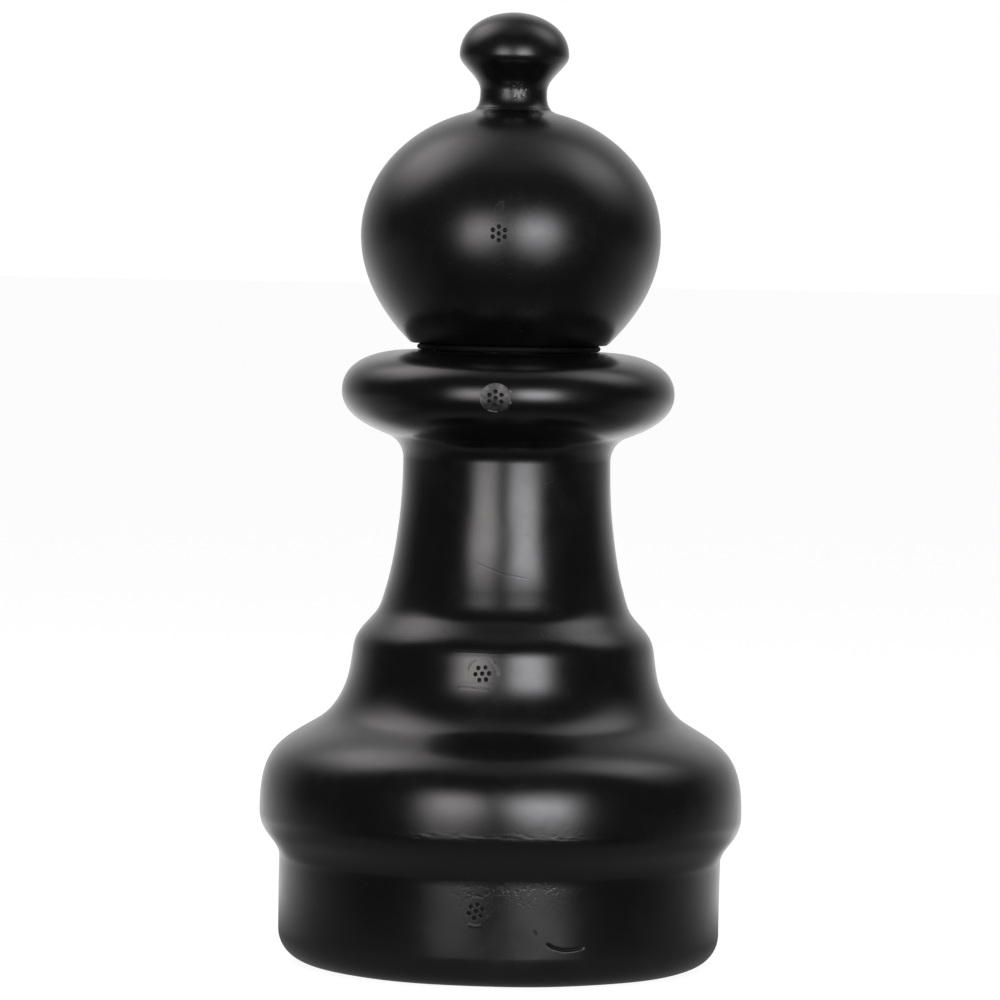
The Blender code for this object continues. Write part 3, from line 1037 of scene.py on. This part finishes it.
windows = [
    (BALL_PLUG[0], ball_at, 7.0, 8.5, 3),
    (BALL_PLUG[0], ball_at, 3.9, 4.4, 1),
    (BALL_PLUG[0], pit_at, 3.5, 4.5, 3),
    (WAIST_PLUG[0], waist_at, 36.0, 6.0, 2),
]
rows = head_skin.row_places(close=[(crease_at, 3.5, 0.25)])
head_mesh, azimuth, along = skin_mesh(
    "head_moulding", head_skin, rows, windows, head_relief, closed=False
)
HEAD_MATT = 0.08  # the head came out of its mould a little duller than the body
r = np.interp(along, head_skin.along, head_skin.r)
across, up = near(azimuth, along, r, BALL_PLUG[0], pit_at)
smudge = ((across - 0.35 * up) / 1.6) ** 2 + (up / 2.5) ** 2
smudge = smudge * (1 + 0.35 * fine_waves(across, up, 31, 1.8))
paint(head_mesh, "pitting", 0 * along)  # the head has none
paint(head_mesh, "matt", HEAD_MATT + gentle_step(1.15 - smudge, 0, 0.9))
place_piece("head_moulding", head_mesh, black_hdpe, "head_shell", "head")


# ---- Filler cap -------------------------------------------------------------------------------
# A ribbed black polypropylene screw cap on the filler neck, sunk in the foot's recess so that it
# clears the ground. It is injection moulded, with a gate mark in the middle of its dished face.
CAP_LOW, CAP_HIGH, CAP_FLOOR_Z = 2.0, 17.5, 4.0
CAP_BORE_R, CAP_R, RIB_HEIGHT, RIBS = 19.9, 22.5, 0.6, 24
DISH_R, DISH_DEPTH = 17.5, 0.7
RIB_LOW, RIB_HIGH, RIB_FADE = 2.6, 17.0, 1.2


def ribbed(azimuth, r, z):
    """Rounded ribs round the skirt, fading out at its top and bottom."""
    if r < CAP_R - 0.01:
        return r, z
    rib = 0.5 + 0.5 * math.cos(math.radians(azimuth) * RIBS)
    ends = min(1.0, max(0.0, (z - RIB_LOW) / RIB_FADE), max(0.0, (RIB_HIGH - z) / RIB_FADE))
    return r + RIB_HEIGHT * ends * rib**0.6, z


CAP_FACE_Z = CAP_LOW + DISH_DEPTH
RIB_TOP_Z, RIB_FOOT_Z = RIB_HIGH - RIB_FADE, RIB_LOW + RIB_FADE
inside = eased(
    [(12.0, CAP_FLOOR_Z), (CAP_BORE_R, CAP_FLOOR_Z), (CAP_BORE_R, THREAD_LOW - 0.3)], CORNER_EASE
)
thread_rows = [(CAP_BORE_R, z) for z in np.arange(THREAD_LOW, THREAD_HIGH + 0.01, 0.25)]
rim = eased(
    [
        (CAP_BORE_R, THREAD_HIGH + 0.2),
        (CAP_BORE_R, CAP_HIGH),
        (CAP_R, CAP_HIGH),
        (CAP_R, RIB_TOP_Z),
    ],
    CORNER_EASE,
)
rib_rows = [(CAP_R, z) for z in np.arange(RIB_TOP_Z - 1.5, RIB_FOOT_Z, -1.5)]
face = eased(
    [
        (CAP_R, RIB_FOOT_Z),
        (CAP_R, RIB_LOW + RIB_FADE / 2),
        (CAP_R, CAP_LOW),
        (DISH_R + 1.0, CAP_LOW),
        (DISH_R, CAP_FACE_Z),
        (12.4, CAP_FACE_Z),
        (12.0, CAP_FACE_Z - 0.2),
        (11.6, CAP_FACE_Z),
        (1.6, CAP_FACE_Z),
        (1.2, CAP_FACE_Z - 0.3),
        (0.4, CAP_FACE_Z - 0.25),
    ],
    CORNER_EASE,
)
cap_outline = [(0.0, CAP_FLOOR_Z), *inside, *thread_rows, *rim, *rib_rows, *face]
cap_outline.append((0.0, CAP_FACE_Z - 0.2))
cap_mesh = turned_mesh("filler_screw_cap", cap_outline, RIBS * 12, ribbed)
cut_thread(cap_mesh, CAP_BORE_R, -1)
cap_polypropylene = plastic(
    "cap_polypropylene", (0.0085, 0.0085, 0.0088), (0.06, 0.058, 0.055), 0.36, 0.08, 0.012, 0.4
)
place_piece(
    "filler_screw_cap", cap_mesh, cap_polypropylene, "filler_cap", "cap"
)


# ---- Cap liner --------------------------------------------------------------------------------
# A disc of grey closed-cell foam pressed into the cap, which seals on the filler neck's lip. It was
# punched from sheet, and the lip has dented a ring into it.
LINER_LOW, LINER_HIGH, LINER_R = 4.3, 5.8, 18.8
LIP_DENT = 0.18


def dented(azimuth, r, z):
    """The lip's ring in the upper face, and a slightly uneven punched edge."""
    if z > LINER_HIGH - 0.01:
        z -= LIP_DENT * math.exp(-(((r - (FILLER_R + FILLER_ROOT_R) / 2) / 1.5) ** 4))
    if r > LINER_R - 0.5:
        r += 0.05 * math.sin(math.radians(azimuth) * 31) - 0.05
    return r, z


edge = eased(
    [
        (18.2, LINER_HIGH),
        (LINER_R, LINER_HIGH - 0.3),
        (LINER_R, LINER_LOW + 0.3),
        (18.2, LINER_LOW),
        (9.0, LINER_LOW),
    ],
    0.25,
)
upper_rows = [(r, LINER_HIGH) for r in np.arange(2.0, 18.1, 0.5)]
liner_outline = [(0.0, LINER_HIGH), *upper_rows, *edge, (0.0, LINER_LOW)]
liner_mesh = turned_mesh("cap_seal_disc", liner_outline, 180, dented)

grey_foam = bpy.data.materials.new("grey_foam")
grey_foam.use_nodes = True
tree = grey_foam.node_tree
shader = tree.nodes["Principled BSDF"]
shader.inputs["Specular IOR Level"].default_value = 0.25
place = place_in_mm(tree)
cells = add_node(tree, "ShaderNodeTexVoronoi", Vector=place, Scale=3.0, Randomness=1.0)
cells = cells.outputs["Distance"]
patches = noise(tree, place, 0.3, 3.0)
tone = math_node(tree, "MULTIPLY_ADD", cells, 0.5, patches)
shade = add_node(tree, "ShaderNodeValToRGB", Fac=tone)
dark_grey, light_grey = shade.color_ramp.elements
dark_grey.position, dark_grey.color = 0.3, (0.20, 0.20, 0.205, 1)
light_grey.position, light_grey.color = 1.0, (0.38, 0.38, 0.385, 1)
tree.links.new(shade.outputs[0], shader.inputs["Base Color"])
rough = math_node(tree, "MULTIPLY_ADD", patches, 0.1, 0.85)
tree.links.new(rough, shader.inputs["Roughness"])
open_cells = math_node(tree, "MULTIPLY", cells, -0.12)
bump = add_node(tree, "ShaderNodeBump", Height=open_cells, Distance=MM, Strength=1.0)
tree.links.new(bump.outputs[0], shader.inputs["Normal"])
place_piece("cap_seal_disc", liner_mesh, grey_foam, "cap_liner", "seal")
